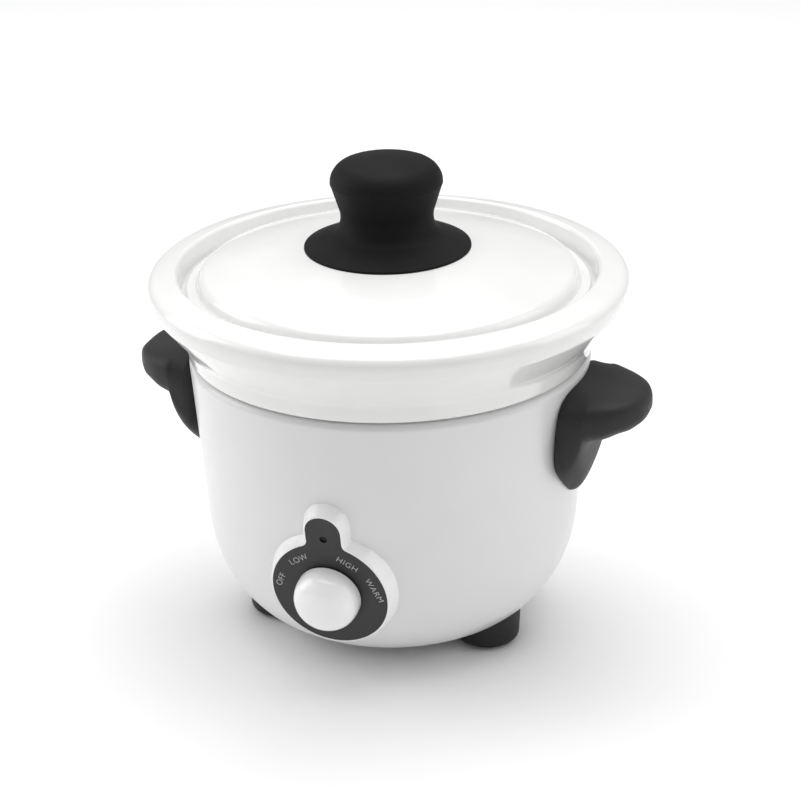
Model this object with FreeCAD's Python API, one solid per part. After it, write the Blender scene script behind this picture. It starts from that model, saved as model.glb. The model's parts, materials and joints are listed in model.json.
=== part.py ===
import FreeCAD, Part
import math
import os
from FreeCAD import Vector

# Round tabletop slow cooker, in millimetres.
# +Z is up, z = 0 is the table, and the vertical axis of the pot is the Z axis.
# The control panel faces -Y, the handles point along -X and +X, and the lead leaves at +Y.

# ---------------------------------------------------------------- driving dimensions
# Crock
RIM_R = 98.5                # widest radius of the crock's rim
RIM_MOUTH_R = 85.3          # inner edge of the rim's top face
RIM_TOP_Z = 156.5           # top of the rim
RIM_DROP = 3.0              # how far the rim's top face falls towards its outer edge
RIM_THICK = 9.0             # depth of the rim's outer edge
RIM_LEAN = 2.2              # how far the rim's edge leans in, from its top to its underside
RIM_ROUND = 4.8
LID_LEDGE_Z = 147.0         # ledge inside the rim that the lid rests on
LEDGE_INNER_R = 76.5        # inner edge of that ledge
COLLAR_R = 82.4             # the crock just above the housing
COLLAR_H = 8.0              # upright band between the housing and the flare
COLLAR_FLARE = 1.4          # how much that band widens upwards
CROCK_TOP_R = 72.6          # outer wall of the crock just under its shoulder
CROCK_FOOT_R = 60.0         # outer wall of the crock at its foot
CROCK_WALL = 5.6
CROCK_FLOOR = 7.0
CROCK_FLOOR_GAP = 2.0       # gap between the crock's foot ring and the heating pan
CROCK_CORNER = 15.0         # rounding inside, where the wall meets the floor
CROCK_FOOT_CORNER = 11.0    # rounding outside, at the foot
FOOT_RING_H = 1.5           # unglazed ring that the crock stands on
FOOT_RING_W = 5.0
FOOT_RING_INSET = 14.0      # from the crock's foot to the ring
FOOT_RING_ROUND = 0.7
COLLAR_ROUND = 1.6
FLARE_ROUND = 6.0
RIM_UNDER_ROUND = 5.0
MOUTH_ROUND = 1.7
MOUTH_LEAN = 1.0            # how far the mouth narrows from the rim to the lid's ledge
SHOULDER_INNER_ROUND = 30.0

# Housing
LIP_R = 82.6                # radius of the housing at its top
LIP_Z = 120.5               # top of the housing
LIP_INNER_R = 77.0          # inner edge of the housing's turned-in lip
LIP_ROUND = 2.6             # rounding of the lip
BODY_TAPER = 0.075          # how much the housing's radius shrinks per mm of depth
BODY_BASE_Z = 4.5           # underside of the housing
BODY_BASE_R = 38.0          # flat part of the housing's underside
BOWL_H = 51.5               # height of the housing's bowl-shaped bottom
HOUSING_WALL = 0.8

# Heating pan and its band
LINER_WALL = 0.8
LINER_FLANGE_R = 79.0       # aluminium flange that lies on the housing's lip
LINER_FLOOR_Z = 20.0        # underside of the heating pan
LINER_GAP = 1.6             # air gap between the crock and the heating pan
LINER_CORNER = 12.0         # rounding inside, where the wall meets the floor
BAND_LOW_Z = 66.0
BAND_HIGH_Z = 102.0
BAND_T = 2.2
BAND_GAP_ANGLE = 12.0       # opening in the band at the back, in degrees
STRAP_LOW_Z = 79.0
STRAP_HIGH_Z = 91.0
STRAP_T = 0.5
STRAP_GAP_ANGLE = 5.0
CLAMP_SCREW_R = 1.2
CLAMP_HEAD_R = 2.1
CLAMP_HEAD_H = 1.4
CLAMP_NUT_H = 1.6
CLAMP_HOLE_HALF_L = 20.0

# Lid and its knob
LID_R = 82.0
LID_FLANGE_T = 3.0
LID_SHOULDER_R = 77.6       # where the dome meets the flange
LID_DOME_Z = 166.0          # outside of the dome on its axis
LID_DOME_RADIUS = 250.0
LID_WALL = 5.0
LID_SHOULDER_ROUND = 4.5
LID_SHOULDER_LEAN = 0.6
LID_FLANGE_FALL = 0.3
LID_EDGE_ROUND = 0.9
LID_SPIGOT_ROUND = 1.5
LID_SPIGOT_GAP = 1.5        # play between the lid's locating ring and the crock
LID_SPIGOT_H = 4.5
KNOB_SKIRT_R = 33.8
KNOB_NECK_R = 18.6
KNOB_CAP_R = 22.7
KNOB_H = 37.8               # knob, from the skirt's edge to the top
SKIRT_EDGE_H = 1.0          # upright edge of the knob's skirt
CAP_DOME_H = 11.1           # domed top above the cap's widest place
CAP_ROUND = 6.5             # rounding from the cap's side into its crown
CAP_EDGE_H = 0.8            # cap's side, from its widest place to its crisp lower edge
CAP_EDGE_IN = 0.5
KNOB_SKIRT_SLOPE = (5.5, 3.4)        # skirt's slope: in from its edge, and up from it
KNOB_SIDE = ((3.6, 6.4), (0.7, 10.4), (0.0, 14.5), (1.0, 19.5))   # beyond the neck, and up
KNOB_HOLE_SPARE = 0.5       # screw hole beyond the screw's end
KNOB_SCREW_R = 2.0
KNOB_SCREW_DEPTH = 14.0     # how far the screw goes into the knob
KNOB_SCREW_HEAD_R = 3.8
KNOB_SCREW_HEAD_H = 2.4
LID_WASHER_R = 7.0
LID_WASHER_T = 1.0

# Handles
HANDLE_REACH = 110.0        # tip of a handle, from the axis
HANDLE_PAD_HALF_W = 23.0    # half width of the handle where it meets the housing
HANDLE_PAD_HALF_H = 22.0
HANDLE_PAD_Z = 88.5         # middle of the pad on the housing
HANDLE_BILL_HALF_W = 28.8   # half width of the bill, beside the housing
HANDLE_TIP_Z = 106.6        # middle of the tip's edge
HANDLE_TIP_HALF_T = 5.4
HANDLE_RISE = 5.5           # how much higher the bill's top is at the housing than at the tip
HANDLE_BELLY = 13.0         # how much lower the bill's underside is at the housing
HANDLE_BLEND = 3.0          # distance over which the pad turns into the bill
HANDLE_PAD_SINK = 4.0       # how far inside the housing's surface the pad starts to widen
HANDLE_SWEEP = 13.2         # how far out the tongue under the bill reaches, from there
HANDLE_SWEEP_POWER = 2.8    # how blunt the tongue's lower end is
HANDLE_TONGUE_NARROW = 0.46  # how much narrower the section gets towards its underside
HANDLE_TOP_FULLNESS = 1.0   # how much squarer than an oval the bill's upper half is
HANDLE_LOW_FULLNESS = 0.2
HANDLE_SCREW_DZ = 9.0       # half the distance between a handle's two screws
HANDLE_SCREW_R = 1.75
HANDLE_SCREW_L = 7.0
HANDLE_SCREW_HEAD_R = 3.2
HANDLE_SCREW_HEAD_H = 1.6

# Feet
FOOT_ANGLES = (-71.0, 71.0, 180.0)   # measured from the front
FOOT_NAMES = ("front_left_foot", "front_right_foot", "rear_foot")
FOOT_CENTRE_R = 48.5
FOOT_TOP_R = 14.5
FOOT_TOP_Z = 24.0           # the foot reaches up to the bowl, below this height
FOOT_BOTTOM_R = 13.2
FOOT_ROUND = 3.6
FOOT_PAD_R = 6.5
FOOT_PAD_T = 2.0
FOOT_PAD_PROUD = 0.6        # how far the rubber pad stands out of the foot
FOOT_SCREW_R = 1.5
FOOT_SCREW_L = 4.3
FOOT_HOLE_SPARE = 0.3
FOOT_SCREW_HEAD_R = 3.0
FOOT_SCREW_HEAD_H = 1.5

# Base cover, stud and nut
COVER_R = 34.0              # base cover disc
COVER_HOLE_R = 30.0         # opening in the housing's underside
COVER_T = 1.0
RECESS_R = 11.0             # dish for the nut, in the middle of the cover
RECESS_H = 5.5
RECESS_SLOPE = 0.9          # how much wider the dish is at its mouth
RECESS_ROUND = 0.7
COVER_EDGE_ROUND = 0.4
STUD_R = 2.5
STUD_COLLAR_R = 7.0         # collar welded to the pan
STUD_COLLAR_T = 1.5
STUD_PROUD = 0.8            # stud beyond the nut
WASHER_R = 4.6
WASHER_T = 1.2
WASHER_SPLIT = 0.6
NUT_ACROSS = 8.0
NUT_H = 3.6

# Control panel, on the bezel's front plane
PANEL_Y = -78.2             # middle of the control knob
PANEL_Z = 45.2
PANEL_TILT = 11.5           # the panel follows the bowl, so it faces a little downwards
PLATE_R = 24.0              # ring of the black face plate
PLATE_NECK_R = 7.3          # round neck above the ring
NECK_RISE = 29.8            # middle of the neck, above the middle of the knob
NECK_BLEND = 3.0            # rounding where the face plate's neck meets its ring
MIN_NECK_BLEND = 0.5
PLATE_T = 1.2
PLATE_RECESS = 0.15         # face plate, below the bezel's front edge
BEZEL_BORDER = 0.7          # white edge round the plate
BEZEL_DRAFT = 0.32          # how much the bezel widens per mm towards the housing
BEZEL_DEPTH = 14.0          # bezel before it is trimmed to the housing
BEZEL_WALL = 2.0
BEZEL_CHAMFER = 0.4         # softening of the bezel's front edge
BEZEL_BOSS_R = 3.2
BOSS_OVERLAP = 0.5          # boss inside the bezel's web
BEZEL_HOLE_SPARE = 0.2      # screw hole beyond the screw's end
BEZEL_SCREW_X = 17.5
BEZEL_SCREW_Z = 12.0
BEZEL_SCREW_R = 1.3
BEZEL_SCREW_HEAD_R = 2.4
BEZEL_SCREW_HEAD_H = 1.4
BEZEL_SCREW_BITE = 1.4      # thread in the bezel's web
BEZEL_SCREW_DROP = 0.85     # head's seat below the housing's curved inner wall
OPENING_R = 17.0            # round opening in the housing behind the switch
OPENING_LEAD = 5.0          # cutting rods start this far in front of the panel
DEPTH_STEP = 0.001          # how finely a depth is searched for
LAMP_RISE = 26.6
LAMP_R = 1.5
LENS_FLANGE_W = 0.9
LENS_FLANGE_T = 1.2
LENS_RECESS = 0.60          # lens, below the face plate's front
LAMP_TUBE_R = 2.4
LAMP_TUBE_L = 6.5
LAMP_LEG_R = 0.4
LAMP_LEG_L = 1.6
LAMP_OPENING_R = 4.0

# Rotary switch and control knob
SWITCH_W = 26.0
SWITCH_H = 24.0
SWITCH_D = 7.0
SWITCH_CORNER = 6.0
SWITCH_BUSH_R = 4.6
BUSH_PROUD = 3.6            # the switch's bush, in front of the face plate
SWITCH_NUT_ACROSS = 12.0
SWITCH_NUT_H = 2.2
SWITCH_FLOOR = 1.2          # back wall of the switch, behind its bore
BLADE = (2.8, 0.8, 3.0)     # width, thickness and length of a terminal blade
BLADE_X = 4.5
BLADE_DEPTHS = (1.6, 4.6)   # blades, behind the switch's front
SPINDLE_R = 3.0
SPINDLE_FLAT = 0.8
SPINDLE_END_GAP = 1.2       # play between the spindle's ends and what faces them
DIAL_KNOB_R = 13.3
DIAL_KNOB_H = 13.0
DIAL_KNOB_WALL = 2.0
DIAL_SIDE_H = 0.16          # upright side, as a share of the knob's height
DIAL_CURVE = ((0.955, 0.47), (0.78, 0.78), (0.45, 0.955))   # dome, as shares of radius and height
DIAL_KNOB_GAP = 0.6         # between the knob's edge and the face plate
HUB_R = 5.0

# Lead gland
GLAND_Z = 42.0              # middle of the gland, at the back
GLAND_BORE_R = 3.6
GLAND_SLEEVE_R = 5.6
GLAND_SLEEVE_IN = 3.0       # sleeve inside the housing
GLAND_FLANGE_R = 9.5
GLAND_FLANGE_T = 3.0
GLAND_FLANGE_ROUND = 1.2
GLAND_PROUD = 8.0           # nose of the gland, outside the housing
GLAND_NOSE_R = 6.4          # nose at the housing
GLAND_TIP_R = 5.0           # nose at its tip

# Wiring in the base
TERMINAL_BLOCK = (24.0, 12.0, 9.0)
TERMINAL_BLOCK_Y = 20.0
TERMINAL_X = 6.0
TERMINAL_SCREW_R = 2.0
TERMINAL_SCREW_DEPTH = 2.5
TERMINAL_WIRE_R = 1.3
TERMINAL_WIRE_Z = 3.4
FUSE_R = 2.0
FUSE_L = 11.0
FUSE_Y = -22.0
FUSE_LEAD_R = 0.5
FUSE_LEAD_L = 7.0
CLIP_W = 6.0
CLIP_T = 0.5
CLIP_TAB = 4.0

# Clearances
TINY = 1e-6
NEAR = 0.01                 # slack when an edge is picked by its length
HEAD_ROUND = 0.45           # rounding of a screw's head, as a share of its height
SLOT_W = 0.8
SLOT_DEPTH = 0.4            # as a share of the head's height
FIT = 0.05                  # radial clearance of a shaft or screw in its hole
SEAT = 0.3                  # clearance between shapes that only pass each other

Z_AXIS = Vector(0, 0, 1)
FORWARD = Vector(0, -1, 0)
ORIGIN = Vector(0, 0, 0)

os.makedirs("parts", exist_ok=True)
nodes = {}


# ---------------------------------------------------------------- helpers
def keep(name, shape):
    """Checks a finished piece and files it under its node's name."""
    if not shape.isValid() or shape.Volume <= 0:
        raise ValueError(name + " is not a sound solid")
    nodes[name] = shape


def corner_arc(before, corner, after, radius):
    """Start, middle and end of the arc that rounds one corner of an outline."""
    to_before = (before - corner).normalize()
    to_after = (after - corner).normalize()
    half = to_before.getAngle(to_after) / 2
    run = radius / math.tan(half)
    bisector = (to_before + to_after).normalize()
    centre = corner + bisector * (radius / math.sin(half))
    return corner + to_before * run, centre - bisector * radius, corner + to_after * run


def outline(corners, closed=True):
    """Edges through (u, v, radius) corners in the XZ plane, each corner rounded by its radius."""
    points = [Vector(c[0], 0, c[1]) for c in corners]
    stops = []
    for i, corner in enumerate(corners):
        rounded = len(corner) > 2 and corner[2] > 0
        if rounded:
            stops.append(corner_arc(points[i - 1], points[i], points[(i + 1) % len(points)], corner[2]))
        else:
            stops.append((points[i],))
    edges = []
    for i, stop in enumerate(stops):
        if len(stop) == 3:
            edges.append(Part.Arc(*stop).toShape())
        if i + 1 < len(stops) or closed:
            start = stop[-1]
            end = stops[(i + 1) % len(stops)][0]
            if start.distanceToPoint(end) > TINY:
                edges.append(Part.makeLine(start, end))
    return edges


def face_of(edges):
    return Part.Face(Part.Wire(Part.__sortEdges__(edges)))


def turned(corners):
    """A solid turned about the Z axis from a closed (radius, height, rounding) outline."""
    return face_of(outline(corners)).revolve(ORIGIN, Z_AXIS, 360)


def rod(radius, start, direction, length):
    return Part.makeCylinder(radius, length, start, direction)


def pan_head_screw(tip_start, direction, shank_r, shank_l, head_r, head_h):
    """A screw whose head's flat face is at tip_start, with its shank along direction."""
    shank = rod(shank_r, tip_start, direction, shank_l)
    back = direction * -1
    head = rod(head_r, tip_start, back, head_h)
    top_edges = [e for e in head.Edges if abs((e.CenterOfMass - tip_start).dot(back) - head_h) < TINY]
    head = head.makeFillet(head_h * HEAD_ROUND, top_edges[:1])
    slot_floor = head_h * (1 - SLOT_DEPTH)
    slot = Part.makeBox(SLOT_W, 2 * head_r, head_h, Vector(-SLOT_W / 2, -head_r, slot_floor))
    slot.Placement = FreeCAD.Placement(tip_start, FreeCAD.Rotation(Z_AXIS, back))
    return shank.fuse(head.cut(slot)).removeSplitter()


def around(shape, angle):
    """A copy turned about the pot's axis. Angle 0 faces the front, +90 faces +X."""
    copy = shape.copy()
    copy.rotate(ORIGIN, Z_AXIS, angle)
    return copy


def polar(radius, angle, z):
    a = math.radians(angle)
    return Vector(radius * math.sin(a), -radius * math.cos(a), z)


# ---------------------------------------------------------------- housing surface
BOWL_TOP_Z = BODY_BASE_Z + BOWL_H


def wall_radius(z, inset=0.0):
    """Radius of the housing's straight tapered wall at a height."""
    return LIP_R - BODY_TAPER * (LIP_Z - z) - inset


def bowl(inset=0.0):
    """Half width, height and tangent point of the elliptical bowl under the tapered wall."""
    height = BOWL_H - inset
    reach = wall_radius(BOWL_TOP_Z, inset) - BODY_BASE_R
    half_width = math.sqrt(reach ** 2 - (BODY_TAPER * height) ** 2)
    tangent_z = BOWL_TOP_Z - BODY_TAPER * height ** 2 / reach
    return half_width, height, tangent_z


def housing_radius(z, inset=0.0):
    """Radius of the housing, bowl included, at a height."""
    half_width, height, tangent_z = bowl(inset)
    if z >= tangent_z:
        return wall_radius(z, inset)
    share = (BOWL_TOP_Z - z) / height
    return BODY_BASE_R + half_width * math.sqrt(max(0.0, 1 - share ** 2))


def bowl_edge(inset=0.0):
    """The elliptical edge from the tapered wall down to the flat underside."""
    half_width, height, tangent_z = bowl(inset)
    centre = Vector(BODY_BASE_R, 0, BOWL_TOP_Z)
    start = Vector(wall_radius(tangent_z, inset), 0, tangent_z)
    end = Vector(BODY_BASE_R, 0, BOWL_TOP_Z - height)
    upper = centre + Vector(0, 0, height)
    outer = centre + Vector(half_width, 0, 0)
    first_axis, second_axis = (upper, outer) if height > half_width else (outer, upper)
    ellipse = Part.Ellipse(first_axis, second_axis, centre)
    first, last = ellipse.parameter(start), ellipse.parameter(end)
    middle_z = tangent_z - (tangent_z - end.z) * 0.5
    middle = ellipse.parameter(Vector(housing_radius(middle_z, inset), 0, middle_z))
    low, high = min(first, last), max(first, last)
    if low < middle < high:
        return ellipse.toShape(low, high), start, end
    return ellipse.toShape(high, low + 2 * math.pi), start, end


def housing_edges(inset=0.0):
    """Edges from the lip's flat top, round the lip, down the wall and under the bowl."""
    bowl_curve, start, end = bowl_edge(inset)
    top = outline([
        (LIP_INNER_R, LIP_Z - inset),
        (wall_radius(LIP_Z - inset, inset), LIP_Z - inset, LIP_ROUND - inset),
        (start.x, start.z),
    ], closed=False)
    return top + [bowl_curve, Part.makeLine(end, Vector(COVER_HOLE_R, 0, end.z))]


def housing_solid(inset=0.0):
    """The housing's outer (or inset) form as one filled solid, for cutting and seating."""
    bottom_z = BODY_BASE_Z + inset
    closing = [
        Part.makeLine(Vector(COVER_HOLE_R, 0, bottom_z), Vector(0, 0, bottom_z)),
        Part.makeLine(Vector(0, 0, bottom_z), Vector(0, 0, LIP_Z - inset)),
        Part.makeLine(Vector(0, 0, LIP_Z - inset), Vector(LIP_INNER_R, 0, LIP_Z - inset)),
    ]
    return face_of(housing_edges(inset) + closing).revolve(ORIGIN, Z_AXIS, 360)


HOUSING_OUTSIDE = housing_solid()


def housing_shell():
    """The thin painted shell, before its holes are cut."""
    inner = housing_edges(HOUSING_WALL)
    lip_end = Part.makeLine(Vector(LIP_INNER_R, 0, LIP_Z), Vector(LIP_INNER_R, 0, LIP_Z - HOUSING_WALL))
    hole_end = Part.makeLine(
        Vector(COVER_HOLE_R, 0, BODY_BASE_Z), Vector(COVER_HOLE_R, 0, BODY_BASE_Z + HOUSING_WALL))
    return face_of(housing_edges() + inner + [lip_end, hole_end]).revolve(ORIGIN, Z_AXIS, 360)


# ---------------------------------------------------------------- heating pan
SHOULDER_Z = LIP_Z + LINER_WALL           # the crock's shoulder rests on the pan's flange
LINER_TOP_R = CROCK_TOP_R + LINER_GAP
LINER_FOOT_R = CROCK_FOOT_R + LINER_GAP
CROCK_FOOT_Z = LINER_FLOOR_Z + LINER_WALL + CROCK_FLOOR_GAP


def liner_radius(z):
    """Outside radius of the heating pan's wall at a height."""
    share = (z - LINER_FLOOR_Z) / (LIP_Z - LINER_FLOOR_Z)
    return LINER_FOOT_R + (LINER_TOP_R - LINER_FOOT_R) * share + LINER_WALL


def inner_liner():
    """Spun aluminium pan with a flange that hangs on the housing's lip."""
    floor = LINER_FLOOR_Z + LINER_WALL
    return turned([
        (0, LINER_FLOOR_Z),
        (LINER_FOOT_R + LINER_WALL, LINER_FLOOR_Z, LINER_CORNER + LINER_WALL),
        (LINER_TOP_R + LINER_WALL, LIP_Z),
        (LINER_FLANGE_R, LIP_Z),
        (LINER_FLANGE_R, SHOULDER_Z),
        (LINER_TOP_R, SHOULDER_Z),
        (LINER_FOOT_R, floor, LINER_CORNER),
        (0, floor),
    ])


def heating_band():
    """Flat resistance band wrapped round the pan, open at the back for its clamp."""
    low = liner_radius(BAND_LOW_Z)
    high = liner_radius(BAND_HIGH_Z)
    section = face_of(outline([
        (low, BAND_LOW_Z), (low + BAND_T, BAND_LOW_Z), (high + BAND_T, BAND_HIGH_Z), (high, BAND_HIGH_Z)]))
    section.rotate(ORIGIN, Z_AXIS, 90 + BAND_GAP_ANGLE / 2)
    return section.revolve(ORIGIN, Z_AXIS, 360 - BAND_GAP_ANGLE)


def band_clamp_strap():
    """Steel strap that draws the band tight, with two ears at the back."""
    low = liner_radius(STRAP_LOW_Z) + BAND_T
    high = liner_radius(STRAP_HIGH_Z) + BAND_T
    section = face_of(outline([
        (low, STRAP_LOW_Z), (low + STRAP_T, STRAP_LOW_Z),
        (high + STRAP_T, STRAP_HIGH_Z), (high, STRAP_HIGH_Z)]))
    section.rotate(ORIGIN, Z_AXIS, 90 + STRAP_GAP_ANGLE / 2)
    strap = section.revolve(ORIGIN, Z_AXIS, 360 - STRAP_GAP_ANGLE)
    ear_in = high + STRAP_T / 2
    ear_out = housing_radius(STRAP_LOW_Z, HOUSING_WALL) - SEAT
    for side in (-1, 1):
        ear_x = side * (high * math.sin(math.radians(STRAP_GAP_ANGLE / 2)) + STRAP_T / 2)
        ear = Part.makeBox(STRAP_T, ear_out - ear_in, STRAP_HIGH_Z - STRAP_LOW_Z,
                           Vector(ear_x - STRAP_T / 2, ear_in, STRAP_LOW_Z))
        strap = strap.fuse(ear)
    hole_start = clamp_screw_start(-CLAMP_HOLE_HALF_L)
    screw_hole = rod(CLAMP_SCREW_R + FIT, hole_start, Vector(1, 0, 0), 2 * CLAMP_HOLE_HALF_L)
    return strap.cut(screw_hole).removeSplitter()


def clamp_screw_start(x):
    """A point on the clamp screw's axis, midway between the strap and the housing."""
    strap_y = liner_radius(STRAP_HIGH_Z) + BAND_T + STRAP_T
    wall_y = housing_radius(STRAP_LOW_Z, HOUSING_WALL) - SEAT
    return Vector(x, (strap_y + wall_y) / 2, (STRAP_LOW_Z + STRAP_HIGH_Z) / 2)


def band_clamp_screw():
    """Small screw and nut through the strap's ears."""
    right = Vector(1, 0, 0)
    ear_face = (liner_radius(STRAP_HIGH_Z) + BAND_T) * math.sin(math.radians(STRAP_GAP_ANGLE / 2)) + STRAP_T
    screw = rod(CLAMP_SCREW_R, clamp_screw_start(-ear_face), right, 2 * ear_face + CLAMP_NUT_H + SEAT)
    head = rod(CLAMP_HEAD_R, clamp_screw_start(-ear_face - CLAMP_HEAD_H), right, CLAMP_HEAD_H)
    nut = rod(CLAMP_HEAD_R, clamp_screw_start(ear_face), right, CLAMP_NUT_H)
    return screw.fuse([head, nut]).removeSplitter()


# ---------------------------------------------------------------- crock
CROCK_INNER_TOP_R = CROCK_TOP_R - CROCK_WALL
CROCK_INNER_FOOT_R = CROCK_FOOT_R - CROCK_WALL
CROCK_FLOOR_Z = CROCK_FOOT_Z + CROCK_FLOOR


def crock():
    """Stoneware pot: tapered wall, flared collar, broad rim and an inside ledge for the lid."""
    rim_low_z = RIM_TOP_Z - RIM_DROP - RIM_THICK
    rim_corner_r = RIM_R + RIM_LEAN / 2
    underside_z = CROCK_FOOT_Z + FOOT_RING_H
    ring_r = CROCK_FOOT_R - FOOT_RING_INSET
    return turned([
        (0, underside_z),
        (ring_r - FOOT_RING_W, underside_z),
        (ring_r - FOOT_RING_W, CROCK_FOOT_Z, FOOT_RING_ROUND),
        (ring_r, CROCK_FOOT_Z, FOOT_RING_ROUND),
        (ring_r, underside_z),
        (CROCK_FOOT_R, underside_z, CROCK_FOOT_CORNER),
        (CROCK_TOP_R, SHOULDER_Z),
        (COLLAR_R, SHOULDER_Z, COLLAR_ROUND),
        (COLLAR_R + COLLAR_FLARE, SHOULDER_Z + COLLAR_H, FLARE_ROUND),
        (RIM_R - RIM_LEAN, rim_low_z, RIM_UNDER_ROUND),
        (rim_corner_r, RIM_TOP_Z - RIM_DROP, RIM_ROUND),
        (RIM_MOUTH_R, RIM_TOP_Z, MOUTH_ROUND),
        (RIM_MOUTH_R - MOUTH_LEAN, LID_LEDGE_Z, MOUTH_ROUND),
        (LEDGE_INNER_R, LID_LEDGE_Z, MOUTH_ROUND),
        (CROCK_INNER_TOP_R, SHOULDER_Z, SHOULDER_INNER_ROUND),
        (CROCK_INNER_FOOT_R, CROCK_FLOOR_Z, CROCK_CORNER),
        (0, CROCK_FLOOR_Z),
    ])


# ---------------------------------------------------------------- lid and its knob
LID_TOP_R = LID_SHOULDER_R - LID_SHOULDER_ROUND
LID_UNDER_R = LEDGE_INNER_R - LID_SPIGOT_GAP - LID_WALL


def dome_z(radius, inset=0.0):
    """Height of the lid's dome, or of its underside, at a radius."""
    sphere = LID_DOME_RADIUS - inset
    centre = LID_DOME_Z - LID_DOME_RADIUS
    return centre + math.sqrt(sphere ** 2 - radius ** 2)


def lid():
    """Glazed ceramic lid: a shallow dome, a thin flange and a ring that centres it in the crock."""
    flange_top = LID_LEDGE_Z + LID_FLANGE_T
    shoulder_z = dome_z(LID_TOP_R)
    dome = Part.Arc(
        Vector(KNOB_SCREW_R + FIT, 0, dome_z(KNOB_SCREW_R + FIT)),
        Vector(LID_TOP_R / 2, 0, dome_z(LID_TOP_R / 2)),
        Vector(LID_TOP_R, 0, shoulder_z)).toShape()
    rest = outline([
        (LID_TOP_R, shoulder_z),
        (LID_SHOULDER_R - LID_SHOULDER_LEAN, shoulder_z - LID_SHOULDER_LEAN, LID_SHOULDER_ROUND),
        (LID_SHOULDER_R, flange_top, LID_EDGE_ROUND),
        (LID_R, flange_top - LID_FLANGE_FALL, LID_EDGE_ROUND),
        (LID_R, LID_LEDGE_Z, LID_EDGE_ROUND),
        (LEDGE_INNER_R - LID_SPIGOT_GAP, LID_LEDGE_Z),
        (LEDGE_INNER_R - LID_SPIGOT_GAP, LID_LEDGE_Z - LID_SPIGOT_H, LID_SPIGOT_ROUND),
        (LID_UNDER_R, LID_LEDGE_Z - LID_SPIGOT_H, LID_SPIGOT_ROUND),
        (LID_UNDER_R - 2.0, dome_z(LID_UNDER_R - 2.0, LID_WALL)),
    ], closed=False)
    under_r = LID_UNDER_R - 2.0
    under = Part.Arc(
        Vector(under_r, 0, dome_z(under_r, LID_WALL)),
        Vector(under_r / 2, 0, dome_z(under_r / 2, LID_WALL)),
        Vector(KNOB_SCREW_R + FIT, 0, dome_z(KNOB_SCREW_R + FIT, LID_WALL))).toShape()
    hole = Part.makeLine(
        Vector(KNOB_SCREW_R + FIT, 0, dome_z(KNOB_SCREW_R + FIT, LID_WALL)),
        Vector(KNOB_SCREW_R + FIT, 0, dome_z(KNOB_SCREW_R + FIT)))
    return face_of([dome] + rest + [under, hole]).revolve(ORIGIN, Z_AXIS, 360)


SKIRT_Z = dome_z(KNOB_SKIRT_R)
KNOB_TOP_Z = SKIRT_Z + KNOB_H


def lid_knob():
    """Moulded mushroom knob: wide skirt, waisted neck and a domed cap with a crisp lower edge."""
    cap_z = KNOB_TOP_Z - CAP_DOME_H
    crease = Vector(KNOB_CAP_R - CAP_EDGE_IN, 0, cap_z - CAP_EDGE_H)
    dome_seat = Part.Arc(
        Vector(0, 0, dome_z(0)),
        Vector(KNOB_SKIRT_R / 2, 0, dome_z(KNOB_SKIRT_R / 2)),
        Vector(KNOB_SKIRT_R, 0, dome_z(KNOB_SKIRT_R))).toShape()
    side = Part.BSplineCurve()
    side.interpolate([
        Vector(KNOB_SKIRT_R, 0, SKIRT_Z + SKIRT_EDGE_H),
        Vector(KNOB_SKIRT_R - KNOB_SKIRT_SLOPE[0], 0, SKIRT_Z + KNOB_SKIRT_SLOPE[1]),
        *[Vector(KNOB_NECK_R + wider, 0, SKIRT_Z + height) for wider, height in KNOB_SIDE],
        crease,
    ])
    crown_r = (KNOB_CAP_R - CAP_ROUND) ** 2 + CAP_DOME_H ** 2 - CAP_ROUND ** 2
    crown_r /= 2 * (CAP_DOME_H - CAP_ROUND)
    round_c = Vector(KNOB_CAP_R - CAP_ROUND, 0, cap_z)
    crown_c = Vector(0, 0, KNOB_TOP_Z - crown_r)
    meet = crown_c + (round_c - crown_c).normalize() * crown_r
    half = (Vector(1, 0, 0) + (round_c - crown_c).normalize()).normalize()
    crown_mid = crown_c + ((meet - crown_c).normalize() + Z_AXIS).normalize() * crown_r
    edges = [
        dome_seat,
        Part.makeLine(Vector(KNOB_SKIRT_R, 0, SKIRT_Z), Vector(KNOB_SKIRT_R, 0, SKIRT_Z + SKIRT_EDGE_H)),
        side.toShape(),
        Part.makeLine(crease, Vector(KNOB_CAP_R, 0, cap_z)),
        Part.Arc(Vector(KNOB_CAP_R, 0, cap_z), round_c + half * CAP_ROUND, meet).toShape(),
        Part.Arc(meet, crown_mid, Vector(0, 0, KNOB_TOP_Z)).toShape(),
        Part.makeLine(Vector(0, 0, KNOB_TOP_Z), Vector(0, 0, dome_z(0))),
    ]
    solid = face_of(edges).revolve(ORIGIN, Z_AXIS, 360)
    hole_start = Vector(0, 0, dome_z(0) - 1)
    hole = rod(KNOB_SCREW_R + FIT, hole_start, Z_AXIS, KNOB_SCREW_DEPTH + KNOB_HOLE_SPARE + 1)
    return solid.cut(hole)


def washer_z():
    return dome_z(LID_WASHER_R, LID_WALL) - LID_WASHER_T


def lid_knob_washer():
    disc = rod(LID_WASHER_R, Vector(0, 0, washer_z()), Z_AXIS, LID_WASHER_T)
    return disc.cut(rod(KNOB_SCREW_R + FIT, Vector(0, 0, washer_z() - 1), Z_AXIS, LID_WASHER_T + 2))


def lid_knob_screw():
    length = dome_z(0) + KNOB_SCREW_DEPTH - washer_z()
    return pan_head_screw(
        Vector(0, 0, washer_z()), Z_AXIS, KNOB_SCREW_R, length, KNOB_SCREW_HEAD_R, KNOB_SCREW_HEAD_H)


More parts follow.
